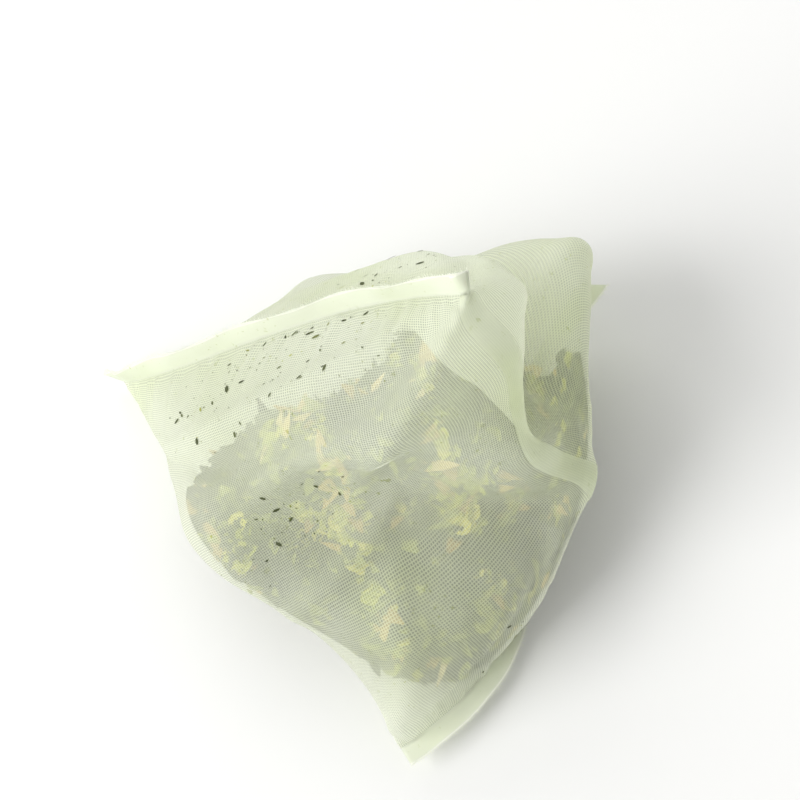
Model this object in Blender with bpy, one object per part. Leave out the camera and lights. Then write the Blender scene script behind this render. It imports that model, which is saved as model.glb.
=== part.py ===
"""Pyramid tea bag of fine woven net, lying on one panel, with loose leaf tea inside.

One rectangular sheet of net is lapped into a tube. One end of the tube is welded flat across the
front, the other end is welded flat along the ridge, at right angles to the first, so the tube
becomes a soft four-cornered pyramid. A place on the net is (u, v): u runs once round the tube from
0 to 1, and v runs from the front weld, 0, to the ridge weld, 1. The corners are the two ends of
each weld, the soft folds run between the corners, and the three panels that stand slump around
the apex. Metres, +Z up, the bag rests on z = 0.
"""
import math

import bmesh
import bpy
import numpy as np

# Driving dimensions
SEAL_LENGTH = 0.070        # length of each end weld, half the girth of the tube
TUBE_HEIGHT = 0.061        # length of the tube along the net, from weld to weld
SEAL_WIDTH = 0.0025        # welded border beyond each weld line
LAP_WIDTH = 0.003          # lengthwise weld where the sheet laps over itself
NET_THICKNESS = 0.0002     # one layer of net
CLEARANCE = 0.0003         # gap between pieces that lie on each other
PRESS_DEPTH = 0.0004       # leaf tips press single spots of the net this far below its underside
PRESS_REACH = 0.0024       # from the middle to the edge of one pressed spot
PORE_SIZE = 0.0010         # side of each open square in the net
HEAP_HEIGHT = 0.0130       # top of the loose tea above the resting face
HEAP_LENGTH = 0.056        # from side to side
HEAP_DEPTH = 0.052         # from the front weld to the rear corner
LEAF_LENGTH = 0.0062
LEAF_WIDTH = 0.0026
LEAF_THICKNESS = 0.0004
STEM_LENGTH = 0.0075
STEM_RADIUS = 0.00055

# Fits that follow from the sizes above
GIRTH = 2 * SEAL_LENGTH
LAP_HALF = LAP_WIDTH / 2 / GIRTH
LAP_STEP = NET_THICKNESS / GIRTH
TEA_INSET = 2 * CLEARANCE + NET_THICKNESS / 2
LAYER_GAP = 12 * NET_THICKNESS
PIECE_LIFT = CLEARANCE + LEAF_THICKNESS / 2
DRAPE_GAP = 4 * LEAF_THICKNESS + 2 * CLEARANCE

# Where the four corners lie once the bag has slumped, along X and Y from the middle of the
# front weld, as shares of the seal length, the tube height and the tube height
SIZES = np.array((SEAL_LENGTH, TUBE_HEIGHT, TUBE_HEIGHT))
LEFT_CORNER = SIZES * (-0.443, -0.049, 0.055)
RIGHT_CORNER = SIZES * (0.443, 0.066, 0.125)
REAR_CORNER = SIZES * (-0.043, 0.910, 0.020)
APEX = SIZES * (0.115, 0.040, 0.690)
TEA_MIDDLE = SIZES * (-0.008, 0.235, 0.0)

# How far each weld and fold is bowed off the straight line, and bent into an S, as shares of
# the tube height
FRONT_WELD = (TUBE_HEIGHT * np.array((0.0, -0.016, -0.066)), TUBE_HEIGHT * np.array((0.0, -0.082, 0.016)))
RIDGE_WELD = (TUBE_HEIGHT * np.array((-0.049, 0.033, 0.049)), TUBE_HEIGHT * np.array((-0.049, 0.016, 0.016)))
LEFT_FOLD = (TUBE_HEIGHT * np.array((0.0, -0.066, 0.066)), TUBE_HEIGHT * np.array((0.0, -0.016, 0.0)))
RIGHT_FOLD = (TUBE_HEIGHT * np.array((0.016, -0.049, 0.049)), TUBE_HEIGHT * np.array((0.016, 0.0, 0.016)))
FRONT_RIGHT_FOLD = (TUBE_HEIGHT * np.array((0.082, -0.016, 0.066)), TUBE_HEIGHT * np.array((0.033, 0.0, -0.016)))
FRONT_LEFT_FOLD = (TUBE_HEIGHT * np.array((-0.066, 0.0, 0.082)), TUBE_HEIGHT * np.array((0.0, -0.016, -0.033)))

# How far the middle of each panel is pushed off its edges by the tea and by the net's own
# spring, as shares of the tube height
BASE_SWELL = TUBE_HEIGHT * np.array((0.0, 0.0, -0.195))
FRONT_SWELL = TUBE_HEIGHT * np.array((0.016, -0.180, 0.033))
RIGHT_SWELL = TUBE_HEIGHT * np.array((0.115, 0.066, 0.0))
LEFT_SWELL = TUBE_HEIGHT * np.array((-0.131, 0.066, 0.016))

# How the slack net falls: the share of its flat lengths that it takes up, how far it falls and
# is drawn in at each step, and the reach of each corner's stiff tip
SLACK = 1.0
FALL_STEP = TUBE_HEIGHT / 20000
DRAW_STEP = TUBE_HEIGHT / 30000
STIFF_TIP = TUBE_HEIGHT * 0.115
TIP_FADE = TUBE_HEIGHT * 0.213
WELD_GUARD = TUBE_HEIGHT * 0.10
WELD_FADE = TUBE_HEIGHT * 0.30
CORNER_GUARD = TUBE_HEIGHT * 0.25
CORNER_FADE = TUBE_HEIGHT * 0.30

# Resolution
SLACK_COLUMNS = 112
SLACK_ROWS = 50
FALL_STEPS = 140
LENGTH_PASSES = 12
FINE_COLUMNS = 288
FINE_ROWS = 48
NET_COLUMNS = 72
NET_ROWS = 24
PRESSED_SPOTS = ((11, 5), (23, 2), (17, 14))   # columns and rows of the net pressed to the table
START_PASSES = 14
SOFTENING_PASSES = 90
PORE_COLUMN_PITCH = 6
PORE_ROW_PITCH = 3
HEAP_RINGS = 10
HEAP_SPOKES = 32
LEAF_COUNT = 14
STEM_COUNT = 6


def bowed(start, end, shape, t):
    """Line from start to end, bowed aside by a parabola and bent into an S by a sine."""
    bow, sway = shape
    t = np.asarray(t)[..., None]
    return start + (end - start) * t + 4 * t * (1 - t) * bow + np.sin(2 * math.pi * t) * sway


def panel(left_edge, right_edge, weld, t, width, swell):
    """Panel between two folds, closed by a weld at its wide end and by a corner at the other."""
    across = t[..., None]
    wide = width[..., None]
    chord = bowed(weld[0], weld[1], (0.0, 0.0), t)
    edge = bowed(weld[0], weld[1], weld[2], t)
    flat = left_edge * (1 - across) + right_edge * across
    bubble = 27 * wide * across * wide * (1 - across) * (1 - wide)
    return flat + wide ** 2 * (edge - chord) + bubble * swell


def reversed_weld(start, end, shape):
    """The same weld line, walked from its other end."""
    return end, start, (shape[0], -shape[1])


def share(value, whole):
    """Value as a share of whole, a half where whole vanishes at a corner."""
    small = whole < 1e-9
    return np.where(small, 0.5, value / np.where(small, 1.0, whole))


def on_base(u, v):
    """Whether a place on the net is on the panel that the bag lies on."""
    return (u >= 0.25 * v) & (u <= 0.5 - 0.25 * v)


def creased_surface(u, v):
    """Points of the folded tube, four panels that meet in sharp folds."""
    left = bowed(LEFT_CORNER, REAR_CORNER, LEFT_FOLD, v)
    right = bowed(RIGHT_CORNER, REAR_CORNER, RIGHT_FOLD, v)
    front_right = bowed(RIGHT_CORNER, APEX, FRONT_RIGHT_FOLD, v)
    front_left = bowed(LEFT_CORNER, APEX, FRONT_LEFT_FOLD, v)
    front_weld = (LEFT_CORNER, RIGHT_CORNER, FRONT_WELD)
    ridge_weld = (REAR_CORNER, APEX, RIDGE_WELD)

    low = 0.5 * (1 - v)
    high = 0.5 * v
    t_base = share(u - 0.25 * v, low)
    t_front = share(u - 0.5 - 0.25 * v, low)
    t_right = share(u - 0.5 + 0.25 * v, high)
    t_left = share((u + 0.25 * v) % 1.0, high)

    base = panel(left, right, front_weld, t_base, 1 - v, BASE_SWELL)
    front = panel(front_right, front_left, reversed_weld(*front_weld), t_front, 1 - v, FRONT_SWELL)
    side = panel(right, front_right, ridge_weld, t_right, v, RIGHT_SWELL)
    other = panel(front_left, left, reversed_weld(*ridge_weld), t_left, v, LEFT_SWELL)

    on_front = (u >= 0.5 + 0.25 * v) & (u <= 1 - 0.25 * v)
    on_side = (u > 0.5 - 0.25 * v) & (u < 0.5 + 0.25 * v)
    points = np.where(on_side[..., None], side, other)
    points = np.where(on_front[..., None], front, points)
    return np.where(on_base(u, v)[..., None], base, points)


def rounded_tube():
    """The tube with its folds rounded off, sharp only at the welds, and flat below."""
    u, v = np.meshgrid(np.arange(SLACK_COLUMNS) / SLACK_COLUMNS, np.arange(SLACK_ROWS + 1) / SLACK_ROWS)
    points = creased_surface(u, v)
    free = (4 * v * (1 - v))[..., None] ** 1.6
    for _ in range(START_PASSES):
        beside = (np.roll(points, 1, axis=1) + np.roll(points, -1, axis=1)) / 2
        points = points + 0.5 * free * (beside - points)
    points[..., 2] = np.maximum(points[..., 2], NET_THICKNESS + PRESS_DEPTH)
    return points


def pull(points, column_step, next_row, rest, stiffness):
    """Move each point and one neighbour towards their rest length, every other pair at a time."""
    for first in (0, 1):
        near = points[:-1] if next_row else points
        far = np.roll(points, -column_step, axis=1)
        far = far[1:] if next_row else far
        edge = far - near
        length = np.linalg.norm(edge, axis=-1)
        move = (0.5 * stiffness * (length - rest) / np.maximum(length, 1e-9))[..., None] * edge
        if next_row:
            move[1 - first::2] = 0
            points[:-1] += move
            points[1:] -= np.roll(move, column_step, axis=1)
        else:
            move[:, 1 - first::2] = 0
            points += move
            points -= np.roll(move, column_step, axis=1)


def stiffened(points, amount):
    """Points drawn to a smooth curve, first round the tube and then along it."""
    bend = (np.roll(points, 1, axis=1) + np.roll(points, -1, axis=1)) / 2 - points
    points = points - amount * ((np.roll(bend, 1, axis=1) + np.roll(bend, -1, axis=1)) / 2 - bend)
    bend = np.zeros_like(points)
    bend[1:-1] = (points[2:] + points[:-2]) / 2 - points[1:-1]
    points[1:-1] -= amount * ((bend[2:] + bend[:-2]) / 2 - bend[1:-1])
    return points


def keep_apart(points, order, side, gap):
    """Push each point and the one that lay across the bag from it apart, where they come too near."""
    short = gap - ((points[:, order] - points) * side).sum(axis=-1)
    points -= 0.5 * np.maximum(short, 0)[..., None] * side


def facing(start, order):
    """Way from each point to the one across the bag from it, and the least gap between them."""
    across = start[:, order] - start
    gap = np.minimum(0.8 * np.linalg.norm(across, axis=-1), LAYER_GAP)
    return order, unit(across), gap


def from_corner(u, v):
    """Distance along the sheet to the nearest corner of the bag."""
    corners = ((0.0, 0.0), (0.5, 0.0), (0.25, 1.0), (0.75, 1.0))
    away = [np.hypot(GIRTH * (np.abs((u - a + 0.5) % 1.0 - 0.5)), TUBE_HEIGHT * (v - b)) for a, b in corners]
    return np.min(away, axis=0)


def rest_lengths(start):
    """Lengths to the next column, the next row and both diagonals of the net as it hangs slack.

    Near the corners and on the base they stay as in the start shape, elsewhere they grow to those
    of the flat sheet.
    """
    u, v = np.meshgrid(np.arange(SLACK_COLUMNS) / SLACK_COLUMNS, np.arange(SLACK_ROWS + 1) / SLACK_ROWS)
    loose = SLACK * np.clip((from_corner(u, v) - STIFF_TIP) / TIP_FADE, 0, 1)
    loose = np.where(on_base(u, v), 0.0, loose)
    flat_column = GIRTH / SLACK_COLUMNS
    flat_row = TUBE_HEIGHT / SLACK_ROWS
    flat_diagonal = math.hypot(flat_column, flat_row)
    lengths = []
    for column_step, next_row, flat in ((1, False, flat_column), (0, True, flat_row),
                                        (1, True, flat_diagonal), (-1, True, flat_diagonal)):
        far = np.roll(start, -column_step, axis=1)
        near = start[:-1] if next_row else start
        far = far[1:] if next_row else far
        part = loose[1:] if next_row else loose
        length = np.linalg.norm(far - near, axis=-1)
        lengths.append(length + part * (flat - length))
    return lengths


def slackened(start):
    """The net let out to its cut size between fixed welds, until it falls on the tea and creases."""
    points = start.copy()
    speed = np.zeros_like(points)
    around, along, diagonal, other_diagonal = rest_lengths(start)
    u, v = np.meshgrid(np.arange(SLACK_COLUMNS) / SLACK_COLUMNS, np.arange(SLACK_ROWS + 1) / SLACK_ROWS)
    below = on_base(u, v)
    floor = NET_THICKNESS + PRESS_DEPTH
    column = np.arange(SLACK_COLUMNS)
    welds = [facing(start, (-column) % SLACK_COLUMNS), facing(start, (SLACK_COLUMNS // 2 - column) % SLACK_COLUMNS)]
    for _ in range(FALL_STEPS):
        before = points.copy()
        points = points + 0.96 * speed
        points[..., 2] -= FALL_STEP
        across = np.roll(points, -1, axis=1) - np.roll(points, 1, axis=1)
        points = points - DRAW_STEP * unit(np.cross(np.gradient(points, axis=0), across))
        for turn in range(LENGTH_PASSES):
            pull(points, 1, False, around, 1.0)
            pull(points, 0, True, along, 1.0)
            pull(points, 1, True, diagonal, 0.4)
            pull(points, -1, True, other_diagonal, 0.4)
            if turn % 3 == 0:
                points = stiffened(points, 0.32)
            for order, side, gap in welds:
                keep_apart(points, order, side, gap)
            points[0] = start[0]
            points[-1] = start[-1]
            cover = np.where(below, floor, tea_cover(points[..., 0], points[..., 1]))
            points[..., 2] = np.maximum(points[..., 2], np.maximum(cover, floor))
        speed = 0.98 * (points - before)
    return points


def softened_tube(u, v):
    """The creased tube with its folds averaged away, more in the middle than at the welds."""
    points = creased_surface(u, v)
    free = (4 * v * (1 - v))[..., None] ** 1.6
    for _ in range(SOFTENING_PASSES):
        beside = (np.roll(points, 1, axis=1) + np.roll(points, -1, axis=1)) / 2
        points = points + 0.5 * free * (beside - points)
        along = (points[:-2] + points[2:]) / 2
        points[1:-1] += 0.15 * free[1:-1] * (along - points[1:-1])
    return points


def soft_surface():
    """The softened tube, moved as the slack net falls, and pressed to the table in a few spots."""
    u, v = np.meshgrid(np.arange(FINE_COLUMNS) / FINE_COLUMNS, np.arange(FINE_ROWS + 1) / FINE_ROWS)
    start = rounded_tube()
    away = TUBE_HEIGHT * np.minimum(v, 1 - v)
    follow = np.clip((away - WELD_GUARD) / WELD_FADE, 0, 1)
    follow *= np.clip((from_corner(u, v) - CORNER_GUARD) / CORNER_FADE, 0, 1)
    follow = (follow * follow * (3 - 2 * follow))[..., None]
    points = softened_tube(u, v) + follow * smooth_read(slackened(start) - start, u, v)
    points[..., 2] = np.maximum(points[..., 2], NET_THICKNESS + PRESS_DEPTH)
    for column, row in PRESSED_SPOTS:
        reach = np.hypot(GIRTH * (u - column / NET_COLUMNS), TUBE_HEIGHT * (v - row / NET_ROWS))
        points[..., 2] -= PRESS_DEPTH * np.clip(1 - reach / PRESS_REACH, 0, 1)
    return points


def four_weights(f):
    """Weights of four neighbours for a smooth curve, a fraction f between the middle two."""
    return (((-0.5 * f + 1.0) * f - 0.5) * f, (1.5 * f - 2.5) * f * f + 1.0,
            ((-1.5 * f + 2.0) * f + 0.5) * f, (0.5 * f - 0.5) * f * f)


def smooth_read(grid, u, v):
    """Points on the smooth surface through a grid that closes round u and ends at v = 0 and 1."""
    rows, columns = grid.shape[:2]
    column = u * columns
    row = v * (rows - 1)
    i = np.floor(column).astype(int)
    j = np.minimum(np.floor(row).astype(int), rows - 2)
    across = four_weights((column - i)[..., None])
    down = four_weights((row - j)[..., None])
    total = 0.0
    for a in range(4):
        picked = np.clip(j + a - 1, 0, rows - 1)
        total = total + down[a] * sum(across[b] * grid[picked, (i + b - 1) % columns] for b in range(4))
    return total


def sample(surface, u, v):
    """Points of the fine surface at any (u, v), read between its rows and columns."""
    column = np.asarray(u) % 1.0 * FINE_COLUMNS
    row = np.clip(v, 0.0, 1.0) * FINE_ROWS
    i = np.floor(column).astype(int)
    j = np.minimum(np.floor(row).astype(int), FINE_ROWS - 1)
    a = (column - i)[..., None]
    b = (row - j)[..., None]
    i0 = i % FINE_COLUMNS
    i1 = (i + 1) % FINE_COLUMNS
    lower = surface[j, i0] * (1 - a) + surface[j, i1] * a
    upper = surface[j + 1, i0] * (1 - a) + surface[j + 1, i1] * a
    return lower * (1 - b) + upper * b


def unit(vectors):
    """Vectors scaled to length one."""
    return vectors / np.maximum(np.linalg.norm(vectors, axis=-1, keepdims=True), 1e-12)


def outward(points):
    """Unit normals of a tube's rows and columns, and the steps that lift a layer one unit off.

    A step is longer than its normal at a sharp fold, so the layer keeps its thickness there.
    """
    along_v = np.empty_like(points)
    along_v[1:-1] = points[2:] - points[:-2]
    along_v[0] = points[1] - points[0]
    along_v[-1] = points[-1] - points[-2]
    after = unit(np.cross(along_v, np.roll(points, -1, axis=1) - points))
    before = unit(np.cross(along_v, points - np.roll(points, 1, axis=1)))
    normals = unit(after + before)
    lean = np.clip((normals * after).sum(axis=-1, keepdims=True), 0.22, 1.0)
    return normals, normals / lean


def partners(columns, fold):
    """For each column, the one that lies against it in a weld folded at the given u."""
    mirrored = (2 * fold - columns) % 1.0
    apart = np.abs(mirrored[:, None] - columns[None, :])
    return np.argmin(np.minimum(apart, 1 - apart), axis=1)


def net_columns():
    """Columns round the tube: an even ring, and the edges of the lap with their mirror places."""
    even = np.arange(NET_COLUMNS) / NET_COLUMNS
    edges = [middle + side * (LAP_HALF + step)
             for middle in (0.25, 0.75) for side in (-1, 1) for step in (0.0, LAP_STEP)]
    return np.sort(np.concatenate((even, edges)))


def lap_layers(columns):
    """Layers of net at each column, two inside the lap and one elsewhere."""
    inside = np.abs(columns - 0.75) < LAP_HALF + LAP_STEP / 2
    return np.where(inside, 2.0, 1.0)[:, None]


def weld_border(line, toward, normals, partner, layers):
    """Root and cut edge of the welded border that stands beyond a weld line.

    line holds the weld's points round the ring, toward the unit steps from it into the panels,
    and normals the panels' own normals there. The root lies where the outer face of the border
    meets the outer face of the panel, each one layer out from the weld.
    """
    tangent = unit(np.roll(line, -1, axis=0) - np.roll(line, 1, axis=0))
    own = partner == np.arange(len(partner))
    span = line[own][1] - line[own][0]
    fin = normals + normals[partner] - toward - toward[partner]
    fin[own] = fin[np.roll(own, 1)]
    fin = unit(fin - tangent * (fin * tangent).sum(axis=1, keepdims=True))
    fin[:, 2] = np.maximum(fin[:, 2], 0.06)
    fin = unit(fin)
    side = unit(np.cross(fin, tangent))
    side *= np.sign((side * (normals - normals[partner])).sum())
    ends = np.nonzero(own)[0]
    side[ends[0]] = -unit(span)
    side[ends[1]] = unit(span)
    thick = NET_THICKNESS * layers
    facing = np.maximum((normals * fin).sum(axis=1), 0.3)
    reach = np.clip((1 - (normals * side).sum(axis=1)) / facing, 0.1, 4.0)
    reach[own] = 0.5
    root = line + side * thick + fin * thick * reach[:, None]
    edge = line + side * thick + fin * SEAL_WIDTH
    lowest = NET_THICKNESS * 0.25
    root[:, 2] = np.maximum(root[:, 2], lowest)
    edge[:, 2] = np.maximum(edge[:, 2], lowest)
    return root, edge


def grid_cell(vertices, j, i, pointed):
    """Faces of one cell of a ring of rows, split through a corner where a weld turns back."""
    count = len(vertices[j])
    k = (i + 1) % count
    corners = [vertices[j][i], vertices[j][k], vertices[j + 1][k], vertices[j + 1][i]]
    for place in range(4):
        if corners[place] in pointed:
            turned = corners[place:] + corners[:place]
            return [turned[:3], [turned[0], turned[2], turned[3]]]
    return [corners]


class NetBuilder:
    """Collects the vertices and faces of the net shell."""

    def __init__(self):
        self.points = []
        self.faces = []

    def add(self, rows):
        """Add rows of points and return their vertex numbers."""
        start = len(self.points)
        rows = np.asarray(rows).reshape(-1, 3)
        self.points.extend(rows.tolist())
        return list(range(start, start + len(rows)))

    def pore(self, outer, inner, j, i):
        """Open one square through both faces of a cell and wall it round."""
        count = len(outer[j])
        k = (i + 1) % count
        rims = []
        for layer in (outer, inner):
            corners = [layer[j][i], layer[j][k], layer[j + 1][k], layer[j + 1][i]]
            places = np.array([self.points[c] for c in corners])
            across = PORE_SIZE / np.linalg.norm(places[1] + places[2] - places[0] - places[3]) * 2
            along = PORE_SIZE / np.linalg.norm(places[3] + places[2] - places[0] - places[1]) * 2
            rim = []
            for a, b in ((-1, -1), (1, -1), (1, 1), (-1, 1)):
                s = 0.5 + a * across / 2
                t = 0.5 + b * along / 2
                low = places[0] * (1 - s) + places[1] * s
                high = places[3] * (1 - s) + places[2] * s
                rim.extend(self.add([low * (1 - t) + high * t]))
            for n in range(4):
                m = (n + 1) % 4
                self.faces.append([corners[n], corners[m], rim[m], rim[n]])
            rims.append(rim)
        for n in range(4):
            m = (n + 1) % 4
            self.faces.append([rims[0][n], rims[0][m], rims[1][m], rims[1][n]])

    def cap(self, ring, partner):
        """Close a cut edge between the two layers of a weld."""
        own = [i for i in range(len(ring)) if partner[i] == i]
        i = own[0]
        while i != own[1]:
            k = (i + 1) % len(ring)
            quad = [ring[i], ring[k], ring[partner[k]], ring[partner[i]]]
            face = []
            for vertex in quad:
                if vertex not in face:
                    face.append(vertex)
            self.faces.append(face)
            i = k


def closed_early(line, beside, partner):
    """Inner weld line drawn back toward the next row and in from its ends, so corners are solid."""
    ends = np.nonzero(partner == np.arange(len(partner)))[0]
    drawn = 0.7 * line + 0.3 * (beside + beside[partner]) / 2
    drawn[ends] = 0.25 * drawn[ends] + 0.75 * drawn[(ends + 1) % len(line)]
    return drawn


def zipped(numbers, partner):
    """Vertex numbers of a weld line, the two layers sharing each vertex."""
    return [numbers[min(i, int(partner[i]))] for i in range(len(numbers))]


def has_pore(columns, j, i, surface):
    """Whether a pore goes in this cell: on a staggered lattice, off the lap and the middle below."""
    width = columns[i + 1] - columns[i] if i + 1 < len(columns) else 1 - columns[i]
    step = round(columns[i] * NET_COLUMNS)
    even = abs(width * NET_COLUMNS - 1) < 1e-6
    row = (j - 1) / PORE_ROW_PITCH
    if not even or row != int(row):
        return False
    shift = PORE_COLUMN_PITCH // 2 * (int(row) % 2)
    if step % PORE_COLUMN_PITCH != shift:
        return False
    place = sample(surface, np.array(columns[i] + width / 2), np.array((j + 0.5) / NET_ROWS))
    return np.linalg.norm(place - TEA_MIDDLE) > 4 * SEAL_WIDTH


def net_mesh(surface):
    """The net shell: an outer and an inner face, welded borders, a raised lap and the pores."""
    columns = net_columns()
    order = np.arange(len(columns))
    rows = np.arange(NET_ROWS + 1) / NET_ROWS
    inside = sample(surface, *np.meshgrid(columns, rows))
    layers = lap_layers(columns)
    normals, steps = outward(inside)
    outside = inside + steps * NET_THICKNESS * layers
    front = partners(columns, 0.0)
    ridge = partners(columns, 0.25)
    bottom = weld_border(inside[0], unit(inside[1] - inside[0]), normals[0], front, layers)
    top = weld_border(inside[-1], unit(inside[-2] - inside[-1]), normals[-1], ridge, layers)

    inside[0] = closed_early(inside[0], inside[1], front)
    inside[-1] = closed_early(inside[-1], inside[-2], ridge)

    net = NetBuilder()
    outer = [net.add(bottom[1]), net.add(bottom[0])]
    outer += [net.add(outside[j]) for j in range(1, NET_ROWS)]
    outer += [net.add(top[0]), net.add(top[1])]
    inner = [zipped(net.add(inside[0]), front)]
    inner += [net.add(inside[j]) for j in range(1, NET_ROWS)]
    inner += [zipped(net.add(inside[-1]), ridge)]
    pointed = {row[i] for row in (inner[0], outer[1]) for i in np.nonzero(front == order)[0]}
    pointed |= {row[i] for row in (inner[-1], outer[-2]) for i in np.nonzero(ridge == order)[0]}

    for i in range(len(columns)):
        net.faces += grid_cell(outer, 0, i, pointed)
        net.faces += grid_cell(outer, NET_ROWS + 1, i, pointed)
        for j in range(NET_ROWS):
            if has_pore(columns, j, i, surface):
                net.pore(outer[1:-1], inner, j, i)
            else:
                net.faces += grid_cell(outer, j + 1, i, pointed)
                net.faces += grid_cell(inner, j, i, pointed)
    net.cap(outer[0], front)
    net.cap(outer[-1], ridge)
    return net.points, net.faces


def heap_height(x, y):
    """Height of the loose tea at a place: a low dome with small lumps, below zero past its rim."""
    dx = (x - TEA_MIDDLE[0]) / (HEAP_LENGTH / 2)
    dy = (y - TEA_MIDDLE[1]) / (HEAP_DEPTH / 2)
    dome = 1 - dx ** 2 - dy ** 2
    lumps = 0.06 * np.sin(7 * dx + 1.3) * np.cos(6 * dy) + 0.04 * np.sin(11 * dy - 5 * dx)
    return HEAP_HEIGHT * (dome * (1 + 0.35 * (1 - dome)) + lumps * np.clip(dome, 0, 1))


def tea_cover(x, y):
    """Lowest height of the upper net over the tea, faded out towards the heap's rim."""
    dx = (x - TEA_MIDDLE[0]) / (HEAP_LENGTH / 2)
    dy = (y - TEA_MIDDLE[1]) / (HEAP_DEPTH / 2)
    inner = np.clip(4 * (1 - np.hypot(dx, dy)), 0, 1)
    return (heap_height(x, y) + DRAPE_GAP) * inner


def finish(name, points, faces, material, parent, smooth_angle=50.0):
    """Object from points and faces, with its faces turned outward and its round parts smooth."""
    mesh = bpy.data.meshes.new(name)
    mesh.from_pydata([tuple(p) for p in points], [], [tuple(f) for f in faces])
    body = bmesh.new()
    body.from_mesh(mesh)
    bmesh.ops.recalc_face_normals(body, faces=body.faces)
    loose = [vertex for vertex in body.verts if not vertex.link_faces]
    bmesh.ops.delete(body, geom=loose, context="VERTS")
    body.to_mesh(mesh)
    body.free()
    mesh.shade_smooth()
    mesh.set_sharp_from_angle(angle=math.radians(smooth_angle))
    mesh.materials.append(material)
    obj = bpy.data.objects.new(name, mesh)
    bpy.context.scene.collection.objects.link(obj)
    obj.parent = parent
    return obj


def ring_faces(rings):
    """Quads between neighbouring closed rings of vertex numbers."""
    faces = []
    for low, high in zip(rings, rings[1:]):
        for i in range(len(low)):
            k = (i + 1) % len(low)
            faces.append([low[i], low[k], high[k], high[i]])
    return faces


def tea_space(surface, material, parent):
    """Closed form of the room inside the net, one clearance in from it, kept as a cutter."""
    columns = np.arange(0, NET_COLUMNS, 2) / NET_COLUMNS
    rows = np.arange(2, NET_ROWS - 1) / NET_ROWS
    net = sample(surface, *np.meshgrid(columns, rows))
    room = net - outward(net)[1] * TEA_INSET
    builder = NetBuilder()
    rings = [builder.add(ring) for ring in room]
    builder.faces += ring_faces(rings)
    builder.cap(rings[0], partners(columns, 0.0))
    builder.cap(rings[-1], partners(columns, 0.25))
    cutter = finish("room_inside_net", builder.points, builder.faces, material, parent)
    cutter.hide_render = True
    cutter.display_type = "WIRE"
    return cutter


def tea_heap(surface, material, parent):
    """The mass of loose tea: a lumpy dome, kept to the room inside the net by an intersection."""
    floor = -2 * CLEARANCE
    rings = []
    points = []
    for ring in range(1, HEAP_RINGS + 1):
        reach = ring / HEAP_RINGS
        rings.append(list(range(len(points), len(points) + HEAP_SPOKES)))
        for spoke in range(HEAP_SPOKES):
            turn = 2 * math.pi * spoke / HEAP_SPOKES
            x = TEA_MIDDLE[0] + reach * HEAP_LENGTH / 2 * math.cos(turn)
            y = TEA_MIDDLE[1] + reach * HEAP_DEPTH / 2 * math.sin(turn)
            points.append((x, y, max(float(heap_height(x, y)), floor)))
    for i in rings[-1]:
        points[i] = (points[i][0], points[i][1], floor)
    faces = ring_faces(rings)
    points.append((TEA_MIDDLE[0], TEA_MIDDLE[1], float(heap_height(TEA_MIDDLE[0], TEA_MIDDLE[1]))))
    for i in range(HEAP_SPOKES):
        faces.append([len(points) - 1, rings[0][i], rings[0][(i + 1) % HEAP_SPOKES]])
    faces.append(rings[-1])
    heap = finish("tea_heap", points, faces, material, parent, smooth_angle=60.0)
    cut = heap.modifiers.new("inside_net", "BOOLEAN")
    cut.operation = "INTERSECT"
    cut.solver = "EXACT"
    cut.object = tea_space(surface, material, parent)
    return heap


def spiral_spot(index, count, reach):
    """Place of one piece on the heap, spread evenly by the golden angle."""
    turn = index * math.pi * (3 - math.sqrt(5))
    out = reach * math.sqrt((index + 0.5) / count)
    return TEA_MIDDLE[0] + out * math.cos(turn), TEA_MIDDLE[1] + out * math.sin(turn)


def laid_piece(name, spot, heading, grid_low, grid_high, material, parent):
    """Closed piece from a lower and an upper grid that follow the heap under them.

    Each grid point is (along, across, height above the heap), and the piece is set at spot and
    turned to heading.
    """
    low = np.array(grid_low)
    high = np.array(grid_high)
    base = float(heap_height(spot[0], spot[1])) + PIECE_LIFT
    turned = []
    for grid in (low, high):
        x = spot[0] + grid[..., 0] * math.cos(heading) - grid[..., 1] * math.sin(heading)
        y = spot[1] + grid[..., 0] * math.sin(heading) + grid[..., 1] * math.cos(heading)
        lifted = grid.copy()
        lifted[..., 2] += heap_height(x, y) + PIECE_LIFT - base
        turned.append(lifted)
    rows, columns = low.shape[:2]
    count = rows * columns
    points = np.concatenate([grid.reshape(-1, 3) for grid in turned])
    faces = []
    for j in range(rows - 1):
        for i in range(columns - 1):
            n = j * columns + i
            quad = [n, n + 1, n + columns + 1, n + columns]
            faces.append(quad)
            faces.append([count + k for k in reversed(quad)])
    border = [i for i in range(columns)]
    border += [j * columns + columns - 1 for j in range(1, rows)]
    border += [(rows - 1) * columns + i for i in range(columns - 2, -1, -1)]
    border += [j * columns for j in range(rows - 2, 0, -1)]
    for n, start in enumerate(border):
        end = border[(n + 1) % len(border)]
        faces.append([start, end, count + end, count + start])
    piece = finish(name, points, faces, material, parent, smooth_angle=40.0)
    piece.location = (spot[0], spot[1], base)
    piece.rotation_euler = (0, 0, heading)
    return piece


def leaf(name, spot, heading, size, material, parent):
    """Broken piece of leaf: pointed at both ends, cupped across and a little wavy."""
    low = []
    high = []
    for s in np.linspace(-1, 1, 6):
        half = LEAF_WIDTH / 2 * size * (0.18 + 0.82 * (1 - abs(s) ** 2.4))
        low.append([])
        high.append([])
        for w in (-1.0, 0.0, 1.0):
            x = s * LEAF_LENGTH / 2 * size
            y = w * half + 0.12 * LEAF_WIDTH * math.sin(2.6 * s + heading)
            cup = 0.9 * LEAF_THICKNESS * w * w + 0.4 * LEAF_THICKNESS * (1 + math.sin(3 * s))
            low[-1].append((x, y, cup))
            high[-1].append((x, y, cup + LEAF_THICKNESS * (1.2 - 0.4 * abs(w))))
    return laid_piece(name, spot, heading, low, high, material, parent)


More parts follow.
